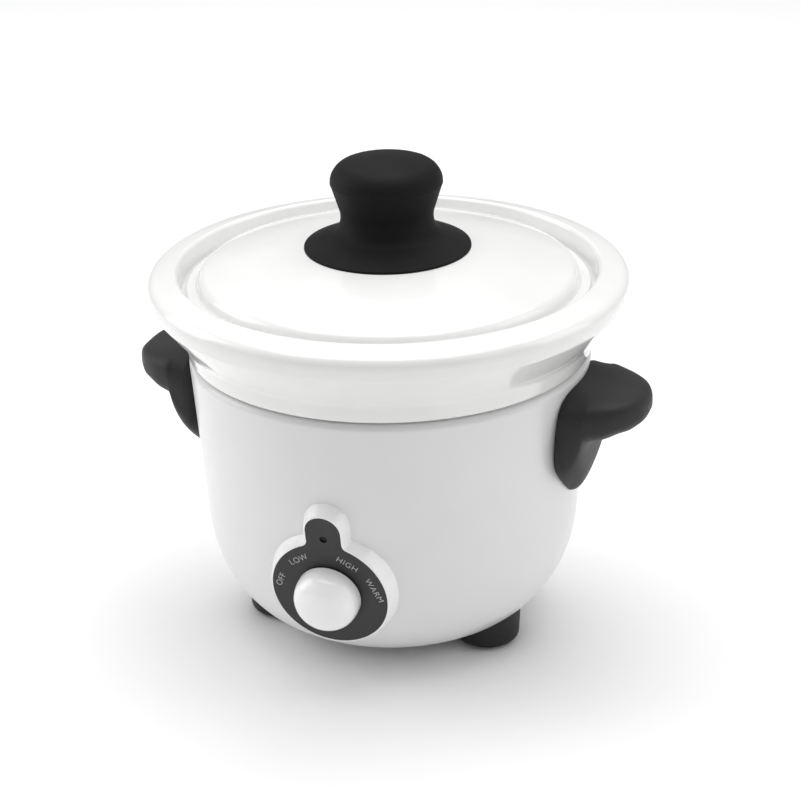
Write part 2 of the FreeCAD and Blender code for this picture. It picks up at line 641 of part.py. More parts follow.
# ---------------------------------------------------------------- handles
HANDLE_PAD_X = wall_radius(HANDLE_PAD_Z) - HANDLE_PAD_SINK
HANDLE_ROOT_X = HANDLE_PAD_X - 7.0                 # inside the housing, before trimming
HANDLE_STATIONS = (0.0, 0.13, 0.22, 0.29, 0.35, 0.4, 0.44, 0.5, 0.6, 0.7, 0.8, 0.88, 0.94, 0.975, 0.993)
HANDLE_POINTS = 32          # points round one cross-section


def smooth(value):
    """Eases from 0 to 1 with level ends."""
    clipped = min(1.0, max(0.0, value))
    return clipped * clipped * (3 - 2 * clipped)


def handle_section(share):
    """One closed cross-section of the handle, at a share of the way from its root to its tip."""
    x = HANDLE_ROOT_X + (HANDLE_REACH - HANDLE_ROOT_X) * share
    widening = smooth((x - HANDLE_PAD_X) / HANDLE_BLEND)
    half_w = HANDLE_PAD_HALF_W + (HANDLE_BILL_HALF_W - HANDLE_PAD_HALF_W) * widening
    if x > HANDLE_PAD_X:
        reach = (x - HANDLE_PAD_X) / (HANDLE_REACH - HANDLE_PAD_X)
        half_w *= math.sqrt(1 - reach ** 2)
    tip_round = max(0.0, (x - HANDLE_REACH + HANDLE_TIP_HALF_T) / HANDLE_TIP_HALF_T)
    half_t = HANDLE_TIP_HALF_T * math.sqrt(1 - tip_round ** 2)
    inward = max(0.0, HANDLE_REACH - x) / (HANDLE_REACH - HANDLE_PAD_X)
    rise = smooth((x - HANDLE_PAD_X) / HANDLE_BLEND)
    sweep = min(1.0, max(0.0, (x - HANDLE_PAD_X) / HANDLE_SWEEP)) ** HANDLE_SWEEP_POWER
    bill_top = HANDLE_TIP_Z + half_t + HANDLE_RISE * inward
    bill_low = HANDLE_TIP_Z - half_t - HANDLE_BELLY * inward
    top = (HANDLE_PAD_Z + HANDLE_PAD_HALF_H) * (1 - rise) + bill_top * rise
    low = (HANDLE_PAD_Z - HANDLE_PAD_HALF_H) * (1 - sweep) + bill_low * sweep
    middle = (top + low) / 2
    half_h = (top - low) / 2
    top_power = 1 / (1 + HANDLE_TOP_FULLNESS * rise)
    low_power = 1 / (1 + HANDLE_LOW_FULLNESS * rise)
    points = []
    for step in range(HANDLE_POINTS):
        turn = 2 * math.pi * step / HANDLE_POINTS
        c, s = math.cos(turn), math.sin(turn)
        power = top_power if s > 0 else low_power
        narrowing = 1 - HANDLE_TONGUE_NARROW * (1 - sweep) * smooth(-s)
        y = half_w * narrowing * math.copysign(abs(c) ** power, c)
        z = middle + half_h * math.copysign(abs(s) ** power, s)
        points.append(Vector(x, y, z))
    curve = Part.BSplineCurve()
    curve.interpolate(points, PeriodicFlag=True)
    return Part.Wire(curve.toShape())


def handle_screw_seats():
    """Seats of the right handle's two screws, one above the other inside the housing's wall."""
    seats = []
    for dz in (-HANDLE_SCREW_DZ, HANDLE_SCREW_DZ):
        z = HANDLE_PAD_Z + dz
        seats.append(Vector(housing_radius(z, HOUSING_WALL) - SEAT, 0, z))
    return seats


def right_handle():
    """Moulded visor handle, seated on the housing and drilled for its two screws."""
    body = Part.makeLoft([handle_section(share) for share in HANDLE_STATIONS], True, False)
    body = body.cut(HOUSING_OUTSIDE)
    body = max(body.Solids, key=lambda solid: solid.Volume)
    for seat in handle_screw_seats():
        body = body.cut(rod(HANDLE_SCREW_R + FIT, seat, Vector(1, 0, 0), HANDLE_SCREW_L + 0.5))
    return body


def right_handle_screws():
    return [pan_head_screw(seat, Vector(1, 0, 0), HANDLE_SCREW_R, HANDLE_SCREW_L,
                           HANDLE_SCREW_HEAD_R, HANDLE_SCREW_HEAD_H)
            for seat in handle_screw_seats()]


# ---------------------------------------------------------------- feet


def foot():
    """The front foot before it is turned to its place: a stubby rounded post under the bowl."""
    post = turned([
        (0, FOOT_PAD_PROUD), (FOOT_BOTTOM_R, FOOT_PAD_PROUD, FOOT_ROUND),
        (FOOT_TOP_R, FOOT_TOP_Z), (0, FOOT_TOP_Z)])
    post.translate(polar(FOOT_CENTRE_R, 0, 0))
    recess = rod(FOOT_PAD_R + FIT, polar(FOOT_CENTRE_R, 0, 0), Z_AXIS, FOOT_PAD_T)
    return post.cut(HOUSING_OUTSIDE).cut(recess)


def foot_screw_line():
    """Seat and direction of a front foot's screw, square to the bowl's inner wall."""
    half_width, height, _ = bowl(HOUSING_WALL)
    share = (FOOT_CENTRE_R - BODY_BASE_R) / half_width
    z = BOWL_TOP_Z - height * math.sqrt(1 - share ** 2)
    slope_out = (FOOT_CENTRE_R - BODY_BASE_R) / half_width ** 2
    slope_down = (z - BOWL_TOP_Z) / height ** 2
    outward = Vector(0, -slope_out, slope_down).normalize()
    return polar(FOOT_CENTRE_R, 0, z) - outward * SEAT, outward


def foot_screw():
    seat, outward = foot_screw_line()
    return pan_head_screw(
        seat, outward, FOOT_SCREW_R, FOOT_SCREW_L, FOOT_SCREW_HEAD_R, FOOT_SCREW_HEAD_H)


def foot_screw_hole():
    seat, outward = foot_screw_line()
    return rod(FOOT_SCREW_R + FIT, seat - outward, outward, FOOT_SCREW_L + 1 + FOOT_HOLE_SPARE)


def foot_pad():
    return rod(FOOT_PAD_R, polar(FOOT_CENTRE_R, 0, 0), Z_AXIS, FOOT_PAD_T)


# ---------------------------------------------------------------- base cover and stud


def base_cover():
    """Pressed steel disc that closes the housing, dished at its middle for the nut."""
    low = BODY_BASE_Z - COVER_T
    hole = STUD_R + FIT
    inner_r = RECESS_R + COVER_T
    return turned([
        (hole, low + RECESS_H), (RECESS_R, low + RECESS_H, RECESS_ROUND),
        (RECESS_R + RECESS_SLOPE, low, RECESS_ROUND), (COVER_R, low, COVER_EDGE_ROUND),
        (COVER_R, BODY_BASE_Z), (inner_r + RECESS_SLOPE, BODY_BASE_Z, RECESS_ROUND),
        (inner_r, BODY_BASE_Z + RECESS_H, RECESS_ROUND),
        (hole, BODY_BASE_Z + RECESS_H)])


COVER_UNDER_Z = BODY_BASE_Z - COVER_T + RECESS_H


def base_stud():
    """Stud welded under the heating pan, which clamps the whole base together."""
    foot_z = COVER_UNDER_Z - WASHER_T - NUT_H - STUD_PROUD
    stud = rod(STUD_R, Vector(0, 0, foot_z), Z_AXIS, LINER_FLOOR_Z - foot_z)
    collar_z = LINER_FLOOR_Z - STUD_COLLAR_T
    collar = rod(STUD_COLLAR_R, Vector(0, 0, collar_z), Z_AXIS, STUD_COLLAR_T)
    return stud.fuse(collar).removeSplitter()


def base_washer():
    """Split spring washer between the cover and the nut."""
    z = COVER_UNDER_Z - WASHER_T
    ring = rod(WASHER_R, Vector(0, 0, z), Z_AXIS, WASHER_T)
    ring = ring.cut(rod(STUD_R + FIT, Vector(0, 0, z - 1), Z_AXIS, WASHER_T + 2))
    split = Part.makeBox(2 * WASHER_R, WASHER_SPLIT, WASHER_T + 2, Vector(0, -WASHER_SPLIT / 2, z - 1))
    return ring.cut(split)


def hexagon(across, z, height, bore_r):
    """A hexagonal nut on the Z axis."""
    corner_r = across / math.sqrt(3)
    points = []
    for k in range(7):
        turn = 2 * math.pi * k / 6
        points.append(Vector(corner_r * math.cos(turn), corner_r * math.sin(turn), z))
    prism = Part.Face(Part.makePolygon(points)).extrude(Vector(0, 0, height))
    return prism.cut(rod(bore_r, Vector(0, 0, z - 1), Z_AXIS, height + 2))


def base_nut():
    return hexagon(NUT_ACROSS, COVER_UNDER_Z - WASHER_T - NUT_H, NUT_H, STUD_R + FIT)


# ---------------------------------------------------------------- control panel
# These pieces are drawn in the panel's own frame: x to the right, z up along the panel, and
# y into the pot from the bezel's front plane. on_panel then tilts them and puts them in place.
PLATE_FRONT = PLATE_RECESS
PLATE_BACK = PLATE_FRONT + PLATE_T
BEZEL_BACK = PLATE_BACK + BEZEL_WALL
INWARD = Vector(0, 1, 0)
PANEL_PLACE = FreeCAD.Placement(Vector(0, PANEL_Y, PANEL_Z), FreeCAD.Rotation(Vector(1, 0, 0), PANEL_TILT))
DEEP = 40.0                 # far enough into the pot to cut right through


def on_panel(shape):
    """A copy of a piece, moved from the panel's frame to its place on the pot."""
    moved = shape.copy()
    moved.Placement = PANEL_PLACE.multiply(moved.Placement)
    return moved


def keyhole(border, y):
    """Edges of a ring with a straight-sided, round-topped neck, grown by border, at depth y."""
    ring_r = PLATE_R + border
    neck_r = PLATE_NECK_R + border
    blend_r = max(MIN_NECK_BLEND, NECK_BLEND - border)
    blend_z = math.sqrt((ring_r + blend_r) ** 2 - (neck_r + blend_r) ** 2)
    ring_c = Vector(0, y, 0)
    neck_c = Vector(0, y, NECK_RISE)
    edges = []
    on_ring = {}
    side_top = {}
    for sign in (-1, 1):
        blend_c = Vector(sign * (neck_r + blend_r), y, blend_z)
        on_ring[sign] = ring_c + (blend_c - ring_c).normalize() * ring_r
        side_low = Vector(sign * neck_r, y, blend_z)
        side_top[sign] = Vector(sign * neck_r, y, NECK_RISE)
        towards = ((on_ring[sign] + side_low) * 0.5 - blend_c).normalize()
        edges.append(Part.Arc(on_ring[sign], blend_c + towards * blend_r, side_low).toShape())
        edges.append(Part.makeLine(side_low, side_top[sign]))
    edges.append(Part.Arc(on_ring[-1], ring_c - Z_AXIS * ring_r, on_ring[1]).toShape())
    edges.append(Part.Arc(side_top[-1], neck_c + Z_AXIS * neck_r, side_top[1]).toShape())
    return Part.__sortEdges__(edges)


def straight_keyhole(border, y, depth):
    """The outline as a straight-sided solid, from y into the pot by depth."""
    return face_of(keyhole(border, y)).extrude(Vector(0, depth, 0))


def flared_keyhole(sections):
    """The outline lofted through (border at the front plane, depth) sections, with the draft added."""
    wires = [Part.Wire(keyhole(border + BEZEL_DRAFT * depth, depth)) for border, depth in sections]
    return Part.makeLoft(wires, True, True)


def panel_rod(radius, x, y, z, length):
    """A round bar into the pot, in the panel's frame."""
    return rod(radius, Vector(x, y, z), INWARD, length)


def control_bezel():
    """White moulded shroud that carries the face plate, the switch and the lamp."""
    outside = flared_keyhole([
        (BEZEL_BORDER - BEZEL_CHAMFER, 0), (BEZEL_BORDER, BEZEL_CHAMFER), (BEZEL_BORDER, BEZEL_DEPTH)])
    recess = straight_keyhole(FIT, -1, PLATE_BACK + 1)
    hollow_border = BEZEL_BORDER - BEZEL_WALL
    hollow = flared_keyhole([(hollow_border, BEZEL_BACK), (hollow_border, BEZEL_DEPTH)])
    bezel = outside.cut(recess).cut(hollow)
    for side in (-1, 1):
        x = side * BEZEL_SCREW_X
        boss_start = BEZEL_BACK - BOSS_OVERLAP
        boss = panel_rod(BEZEL_BOSS_R, x, boss_start, BEZEL_SCREW_Z, BEZEL_DEPTH - BEZEL_BACK)
        hole_start = BEZEL_BACK - BEZEL_SCREW_BITE - BEZEL_HOLE_SPARE
        hole = panel_rod(BEZEL_SCREW_R + FIT, x, hole_start, BEZEL_SCREW_Z, DEEP)
        bezel = bezel.fuse(boss).cut(hole)
    bezel = bezel.cut(panel_rod(SWITCH_BUSH_R + FIT, 0, -1, 0, DEEP))
    bezel = bezel.cut(panel_rod(LENS_FLANGE_R + FIT, 0, -1, LAMP_RISE, DEEP))
    housing = HOUSING_OUTSIDE.cut(on_panel(panel_rod(OPENING_R - FIT, 0, -DEEP, 0, 2 * DEEP)))
    bezel = on_panel(bezel).cut(housing)
    return max(bezel.Solids, key=lambda solid: solid.Volume)


def wall_depth(x, up):
    """Depth, in the panel's frame, at which a line into the pot meets the housing's inner wall."""
    outside, inside = 0.0, DEEP
    while inside - outside > DEPTH_STEP:
        middle = (outside + inside) / 2
        spot = PANEL_PLACE.multVec(Vector(x, middle, up))
        if math.hypot(spot.x, spot.y) < housing_radius(spot.z, HOUSING_WALL):
            inside = middle
        else:
            outside = middle
    return inside


def bezel_screw_seats():
    """Where each bezel screw's head bears on the inside of the housing, in the panel's frame."""
    seats = []
    for x in (-BEZEL_SCREW_X, BEZEL_SCREW_X):
        seat_y = wall_depth(x, BEZEL_SCREW_Z) + BEZEL_SCREW_DROP
        seats.append(Vector(x, seat_y, BEZEL_SCREW_Z))
    return seats


def bezel_screws():
    """Screws from inside the housing into the bezel's bosses."""
    screws = []
    for seat in bezel_screw_seats():
        length = seat.y - BEZEL_BACK + BEZEL_SCREW_BITE
        screws.append(on_panel(pan_head_screw(
            seat, FORWARD, BEZEL_SCREW_R, length, BEZEL_SCREW_HEAD_R, BEZEL_SCREW_HEAD_H)))
    return screws


def panel_openings():
    """Openings in the housing for the switch, the lamp and the bezel's screws."""
    holes = [panel_rod(OPENING_R, 0, -OPENING_LEAD, 0, DEEP),
             panel_rod(LAMP_OPENING_R, 0, -OPENING_LEAD, LAMP_RISE, DEEP)]
    for side in (-1, 1):
        x = side * BEZEL_SCREW_X
        holes.append(panel_rod(BEZEL_SCREW_R + FIT, x, -OPENING_LEAD, BEZEL_SCREW_Z, DEEP))
    return [on_panel(hole) for hole in holes]


def dial_plate():
    """Black face plate, set into the bezel."""
    plate = straight_keyhole(0, PLATE_FRONT, PLATE_T)
    plate = plate.cut(panel_rod(SWITCH_BUSH_R + FIT, 0, 0, 0, DEEP))
    return on_panel(plate.cut(panel_rod(LAMP_R + FIT, 0, 0, LAMP_RISE, DEEP)))


LENS_FLANGE_R = LAMP_R + LENS_FLANGE_W


def indicator_lens():
    """Small dark lens: a pin through the plate with a flange behind it."""
    pin = panel_rod(LAMP_R, 0, PLATE_FRONT + LENS_RECESS, LAMP_RISE, PLATE_T + LENS_FLANGE_T - LENS_RECESS)
    flange = panel_rod(LENS_FLANGE_R, 0, PLATE_BACK, LAMP_RISE, LENS_FLANGE_T)
    return on_panel(pin.fuse(flange).removeSplitter())


def indicator_lamp():
    """Neon lamp in its clear sleeve, behind the lens."""
    start = PLATE_BACK + LENS_FLANGE_T
    tube = panel_rod(LAMP_TUBE_R, 0, start, LAMP_RISE, LAMP_TUBE_L)
    leg_x = LAMP_TUBE_R / 2
    legs = [panel_rod(LAMP_LEG_R, x, start + LAMP_TUBE_L, LAMP_RISE, LAMP_LEG_L) for x in (-leg_x, leg_x)]
    return on_panel(tube.fuse(legs).removeSplitter())


SWITCH_BACK = BEZEL_BACK + SWITCH_D
BUSH_START = PLATE_FRONT - BUSH_PROUD


def rotary_switch():
    """Four-position rotary switch: moulded body and a threaded bush through the bezel."""
    body = Part.makeBox(SWITCH_W, SWITCH_D, SWITCH_H, Vector(-SWITCH_W / 2, BEZEL_BACK, -SWITCH_H / 2))
    corners = [e for e in body.Edges if e.BoundBox.YLength > SWITCH_D - NEAR]
    body = body.makeFillet(SWITCH_CORNER, corners)
    bush = panel_rod(SWITCH_BUSH_R, 0, BUSH_START, 0, BEZEL_BACK - BUSH_START + 1)
    bore = panel_rod(SPINDLE_R + FIT, 0, BUSH_START - 1, 0, SWITCH_BACK - SWITCH_FLOOR - BUSH_START + 1)
    return on_panel(body.fuse(bush).cut(bore).removeSplitter())


def switch_terminals():
    """Four blade terminals under the switch, for its wires."""
    width, thickness, length = BLADE
    blades = []
    for x in (-BLADE_X, BLADE_X):
        for depth in BLADE_DEPTHS:
            corner = Vector(x - width / 2, BEZEL_BACK + depth, -SWITCH_H / 2 - length)
            blades.append(on_panel(Part.makeBox(width, thickness, length, corner)))
    return Part.makeCompound(blades)


def facing_out(shape, y):
    """Turns a piece made on the Z axis to point out of the panel from depth y, and places it."""
    shape.Placement = FreeCAD.Placement(Vector(0, y, 0), FreeCAD.Rotation(Z_AXIS, FORWARD))
    return on_panel(shape)


def switch_nut():
    """Flat hexagonal nut that holds the switch, plate and bezel together."""
    return facing_out(hexagon(SWITCH_NUT_ACROSS, 0, SWITCH_NUT_H, SWITCH_BUSH_R + FIT), PLATE_FRONT)


KNOB_EDGE = PLATE_FRONT - DIAL_KNOB_GAP
KNOB_FRONT = KNOB_EDGE - DIAL_KNOB_H
SPINDLE_END = KNOB_FRONT + DIAL_KNOB_WALL + SPINDLE_END_GAP


def dial_profile(inset):
    """The domed knob as a filled solid, inset by a wall thickness."""
    radius = DIAL_KNOB_R - inset
    height = DIAL_KNOB_H - inset
    side_h = height * DIAL_SIDE_H
    curve = Part.BSplineCurve()
    curve.interpolate([
        Vector(radius, 0, side_h),
        *[Vector(radius * across, 0, height * up) for across, up in DIAL_CURVE],
        Vector(0, 0, height),
    ], InitialTangent=Vector(0, 0, 1), FinalTangent=Vector(-1, 0, 0))
    edges = [
        Part.makeLine(ORIGIN, Vector(radius, 0, 0)),
        Part.makeLine(Vector(radius, 0, 0), Vector(radius, 0, side_h)),
        curve.toShape(),
        Part.makeLine(Vector(0, 0, height), ORIGIN),
    ]
    return face_of(edges).revolve(ORIGIN, Z_AXIS, 360)


def flatted_shaft(length):
    """The spindle's end, with its flat, on the Z axis."""
    shaft = Part.makeCylinder(SPINDLE_R, length)
    size = 4 * SPINDLE_R
    flat = Part.makeBox(size, size, length, Vector(-size / 2, SPINDLE_R - SPINDLE_FLAT, 0))
    return shaft.cut(flat)


def control_knob():
    """Hollow domed knob with a hub that grips the spindle's flat."""
    shell = dial_profile(0).cut(dial_profile(DIAL_KNOB_WALL))
    hub_start = KNOB_EDGE - (BUSH_START - SEAT)
    hub_l = DIAL_KNOB_H - DIAL_KNOB_WALL / 2 - hub_start
    hub = Part.makeCylinder(HUB_R, hub_l, Vector(0, 0, hub_start))
    socket = flatted_shaft(KNOB_EDGE - SPINDLE_END)
    return facing_out(shell.fuse(hub).cut(socket).removeSplitter(), KNOB_EDGE)


def switch_spindle():
    """Flatted spindle, which turns with the knob inside the switch's bush."""
    inner_end = SWITCH_BACK - SWITCH_FLOOR - SPINDLE_END_GAP
    flat_l = BUSH_START - SPINDLE_END
    plain_l = inner_end - BUSH_START
    plain = Part.makeCylinder(SPINDLE_R, plain_l)
    flatted = flatted_shaft(flat_l)
    flatted.translate(Vector(0, 0, plain_l))
    return facing_out(plain.fuse(flatted).removeSplitter(), inner_end)


# ---------------------------------------------------------------- lead gland and wiring in the base
def cord_gland():
    """Moulded gland for the lead: a flange on the housing and a sleeve through its wall."""
    wall_y = housing_radius(GLAND_Z)
    sleeve_end = housing_radius(GLAND_Z, HOUSING_WALL) - GLAND_SLEEVE_IN
    sunk = GLAND_FLANGE_R / 2
    flange = rod(GLAND_FLANGE_R, Vector(0, wall_y - sunk, GLAND_Z), INWARD, sunk + GLAND_FLANGE_T)
    outer_edges = [e for e in flange.Edges if e.BoundBox.YMin > wall_y]
    flange = flange.makeFillet(GLAND_FLANGE_ROUND, outer_edges[:1])
    nose = Part.makeCone(GLAND_NOSE_R, GLAND_TIP_R, GLAND_PROUD, Vector(0, wall_y, GLAND_Z), INWARD)
    outside = flange.fuse(nose).cut(HOUSING_OUTSIDE)
    sleeve_l = wall_y + GLAND_FLANGE_T / 2 - sleeve_end
    sleeve = rod(GLAND_SLEEVE_R, Vector(0, sleeve_end, GLAND_Z), INWARD, sleeve_l)
    bore = rod(GLAND_BORE_R, Vector(0, 0, GLAND_Z), INWARD, 2 * wall_y)
    return outside.fuse(sleeve).cut(bore).removeSplitter()


def terminal_block():
    """Two-way ceramic block on the base cover, where the lead meets the inner wires."""
    width, depth, height = TERMINAL_BLOCK
    corner = Vector(-width / 2, TERMINAL_BLOCK_Y - depth / 2, BODY_BASE_Z)
    block = Part.makeBox(width, depth, height, corner)
    block = block.makeFillet(1.0, [e for e in block.Edges if e.BoundBox.ZLength > height - NEAR])
    for x in (-TERMINAL_X, TERMINAL_X):
        screw_start = Vector(x, TERMINAL_BLOCK_Y, BODY_BASE_Z + height - TERMINAL_SCREW_DEPTH)
        block = block.cut(rod(TERMINAL_SCREW_R, screw_start, Z_AXIS, TERMINAL_SCREW_DEPTH + 1))
        block = block.cut(rod(TERMINAL_WIRE_R, Vector(x, 0, BODY_BASE_Z + TERMINAL_WIRE_Z), INWARD, DEEP))
    return block


FUSE_Z = LINER_FLOOR_Z - FUSE_R


def thermal_fuse():
    """Thermal cut-off lying against the underside of the pan."""
    right = Vector(1, 0, 0)
    can = rod(FUSE_R, Vector(-FUSE_L / 2, FUSE_Y, FUSE_Z), right, FUSE_L)
    lead_start = Vector(-FUSE_L / 2 - FUSE_LEAD_L, FUSE_Y, FUSE_Z)
    leads = rod(FUSE_LEAD_R, lead_start, right, FUSE_L + 2 * FUSE_LEAD_L)
    return can.fuse(leads).removeSplitter()


def fuse_clip():
    """Spring clip that presses the cut-off to the pan."""
    right = Vector(1, 0, 0)
    inner = FUSE_R + FIT
    outer = inner + CLIP_T
    start = Vector(-CLIP_W / 2, FUSE_Y, FUSE_Z)
    clip = rod(outer, start, right, CLIP_W)
    clip = clip.fuse(Part.makeBox(CLIP_W, 2 * outer, FUSE_R, start - Vector(0, outer, 0)))
    clip = clip.cut(rod(inner, start - right, right, CLIP_W + 2))
    clip = clip.cut(Part.makeBox(CLIP_W + 2, 2 * inner, outer, start - Vector(1, inner, 0)))
    clip = clip.cut(Part.makeBox(CLIP_W + 2, 4 * outer, outer, start + Vector(-1, -2 * outer, FUSE_R)))
    for side in (-1, 1):
        tab_y = FUSE_Y + side * (outer + CLIP_TAB / 2 - FIT) - CLIP_TAB / 2
        tab_start = Vector(-CLIP_W / 2, tab_y, LINER_FLOOR_Z - CLIP_T)
        clip = clip.fuse(Part.makeBox(CLIP_W, CLIP_TAB, CLIP_T, tab_start))
    return clip.removeSplitter()


# ---------------------------------------------------------------- assembly
keep("crock", crock())
keep("inner_liner", inner_liner())
keep("heating_band", heating_band())
keep("band_clamp_strap", band_clamp_strap())
keep("band_clamp_screw", band_clamp_screw())

keep("lid", lid())
keep("lid_knob", lid_knob())
keep("lid_knob_washer", lid_knob_washer())
keep("lid_knob_screw", lid_knob_screw())

right = right_handle()
screws = right_handle_screws()
keep("right_handle", right)
keep("left_handle", around(right, 180))
keep("handle_screws", Part.makeCompound(screws + [around(screw, 180) for screw in screws]))

front_foot = foot().cut(foot_screw_hole())
for name, angle in zip(FOOT_NAMES, FOOT_ANGLES):
    keep(name, around(front_foot, angle))
keep("foot_screws", Part.makeCompound([around(foot_screw(), angle) for angle in FOOT_ANGLES]))
keep("foot_pads", Part.makeCompound([around(foot_pad(), angle) for angle in FOOT_ANGLES]))

keep("base_cover", base_cover())
keep("base_stud", base_stud())
keep("base_washer", base_washer())
keep("base_nut", base_nut())

keep("control_bezel", control_bezel())
keep("bezel_screws", Part.makeCompound(bezel_screws()))
keep("dial_plate", dial_plate())
keep("indicator_lens", indicator_lens())
keep("indicator_lamp", indicator_lamp())
keep("rotary_switch", rotary_switch())
keep("switch_terminals", switch_terminals())
keep("switch_nut", switch_nut())
keep("control_knob", control_knob())
keep("switch_spindle", switch_spindle())

keep("cord_gland", cord_gland())
keep("terminal_block", terminal_block())
keep("thermal_fuse", thermal_fuse())
keep("fuse_clip", fuse_clip())

shell = housing_shell()
holes = panel_openings()
holes.append(rod(GLAND_SLEEVE_R + FIT, Vector(0, 40, GLAND_Z), Vector(0, 1, 0), 60))
for screw_seat in handle_screw_seats():
    hole = rod(HANDLE_SCREW_R + FIT, screw_seat, Vector(1, 0, 0), 20)
    holes += [hole, around(hole, 180)]
for angle in FOOT_ANGLES:
    holes.append(around(foot_screw_hole(), angle))
for hole in holes:
    shell = shell.cut(hole)
keep("outer_housing", shell)

for name, shape in nodes.items():
    shape.exportStep("parts/" + name + ".step")
    print(name, len(shape.Solids), "solid(s),", round(shape.Volume / 1000, 3), "cm3")
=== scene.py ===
# %% [markdown]
# # A small round slow cooker
# The design of the cooker comes in as a fixed frame: every solid already has its true size and
# place, in metres. This lesson gives that frame its looks. It sets up a camera, a floor and studio
# light, mixes the finishes, remakes the pieces that deserve a softer mesh, and letters the dial.

# %% Load the frame
import json
import math
import bmesh
import bpy
from mathutils import Matrix, Vector


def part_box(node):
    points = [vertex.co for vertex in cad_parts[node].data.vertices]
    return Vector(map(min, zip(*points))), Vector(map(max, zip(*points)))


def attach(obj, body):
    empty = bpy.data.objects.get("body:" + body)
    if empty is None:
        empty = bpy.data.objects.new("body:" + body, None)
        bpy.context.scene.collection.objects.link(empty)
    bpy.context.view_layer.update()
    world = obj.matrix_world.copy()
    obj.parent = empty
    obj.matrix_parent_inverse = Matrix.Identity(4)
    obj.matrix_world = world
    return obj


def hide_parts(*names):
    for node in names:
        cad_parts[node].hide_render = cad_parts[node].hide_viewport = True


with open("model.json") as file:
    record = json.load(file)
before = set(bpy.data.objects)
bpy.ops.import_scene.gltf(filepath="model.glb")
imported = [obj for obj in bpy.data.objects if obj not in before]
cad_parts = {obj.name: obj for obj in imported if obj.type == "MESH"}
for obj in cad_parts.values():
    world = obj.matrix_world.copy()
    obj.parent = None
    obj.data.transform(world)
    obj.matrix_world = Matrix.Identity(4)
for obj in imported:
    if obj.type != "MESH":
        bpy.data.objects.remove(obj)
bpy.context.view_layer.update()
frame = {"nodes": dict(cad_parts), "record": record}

nodes = frame["nodes"]
MM = 0.001

# %% [markdown]
# ## Where the panel is
# The control panel is tilted, because it follows the bowl-shaped bottom. The design says where the
# control knob turns and round which axis, and that axis points into the pot. The panel's right is
# the cooker's own right, and one cross product gives its up, so anything drawn flat can be laid on
# it. A tilt could also be typed in by hand, but then it would have to be changed whenever the design
# changes.

# %% The panel's own directions
turn = next(j for j in frame["record"]["behaviour"]["joints"] if j["name"] == "knob_turn")
panel_middle = Vector(turn["pos_m"])
panel_inward = Vector(turn["axis"]).normalized()
panel_right = Vector((1, 0, 0))
panel_up = panel_right.cross(panel_inward).normalized()


def on_panel(right, up, out):
    """A point given in metres to the right, up and out from the middle of the control knob."""
    return panel_middle + panel_right * right + panel_up * up - panel_inward * out


print("panel leans", round(math.degrees(math.asin(panel_inward.z)), 1), "degrees")

# %% [markdown]
# ## Camera
# The view is from a little above and from the cooker's right, with a long lens, so that the round
# rim stays almost an even ellipse. The camera is placed by its distance, its height and the angle
# round the pot. It could be aimed with a Track To constraint, but three turns written out show
# exactly what it does: round the pot, down, and a slight roll.

# %% Camera
CAMERA_ROUND = math.radians(19.4)
CAMERA_REACH = 0.914
CAMERA_HEIGHT = 0.492
CAMERA_DOWN = math.radians(23.45)
CAMERA_YAW = math.radians(0.24)
CAMERA_ROLL = math.radians(-1.2)
CAMERA_LENS = 107.87     # millimetres, on a sensor 36 mm wide

camera = bpy.data.objects.new("camera", bpy.data.cameras.new("camera"))
bpy.context.scene.collection.objects.link(camera)
bpy.context.scene.camera = camera
camera.data.sensor_width = 36
camera.data.lens = CAMERA_LENS
camera.data.clip_start = 0.01
camera.data.clip_end = 50

heading = CAMERA_ROUND - CAMERA_YAW
ahead = Vector((-math.sin(heading), math.cos(heading), 0)) * math.cos(CAMERA_DOWN)
ahead.z = -math.sin(CAMERA_DOWN)
side = Vector((math.cos(heading), math.sin(heading), 0))
above = side.cross(ahead)
rolled_side = side * math.cos(CAMERA_ROLL) + above * math.sin(CAMERA_ROLL)
rolled_above = above * math.cos(CAMERA_ROLL) - side * math.sin(CAMERA_ROLL)
stand = Vector((math.sin(CAMERA_ROUND), -math.cos(CAMERA_ROUND), 0)) * CAMERA_REACH
stand.z = CAMERA_HEIGHT
turned = Matrix((rolled_side, rolled_above, -ahead)).transposed().to_4x4()
camera.matrix_world = Matrix.Translation(stand) @ turned
print("camera stands at", [round(v, 3) for v in stand])

# %% [markdown]
# ## Floor and studio light
# White goods are usually shown on a white sweep under big soft boxes, so that the curves read
# through soft gradients and not through hard shadows. A wide box overhead makes the floor and the
# lid bright, two upright boxes at the sides brighten the flanks, and a pale world fills the rest.

# %% Floor
FLOOR_HALF_W = 6.0
FLOOR_DROP = 0.2 * MM     # just below the feet, so that the two never share a plane
PAPER_WHITE = (0.93, 0.93, 0.93, 1)

bm = bmesh.new()
bmesh.ops.create_grid(bm, x_segments=1, y_segments=1, size=FLOOR_HALF_W)
floor_mesh = bpy.data.meshes.new("floor")
bm.to_mesh(floor_mesh)
bm.free()
floor = bpy.data.objects.new("floor", floor_mesh)
bpy.context.scene.collection.objects.link(floor)
floor.location.z = -FLOOR_DROP

floor_paint = bpy.data.materials.new("floor_paint")
floor_paint.use_nodes = True
floor_shader = floor_paint.node_tree.nodes["Principled BSDF"]
floor_shader.inputs["Base Color"].default_value = PAPER_WHITE
floor_shader.inputs["Roughness"].default_value = 0.9
floor.data.materials.append(floor_paint)
print("floor is", floor.dimensions.x, "m wide")

# %% Lights
scene = bpy.context.scene
scene.view_settings.view_transform = "Standard"
world = bpy.data.worlds.new("studio")
scene.world = world
world.use_nodes = True
background = world.node_tree.nodes["Background"]
background.inputs["Color"].default_value = (1, 1, 1, 1)
background.inputs["Strength"].default_value = 0.44


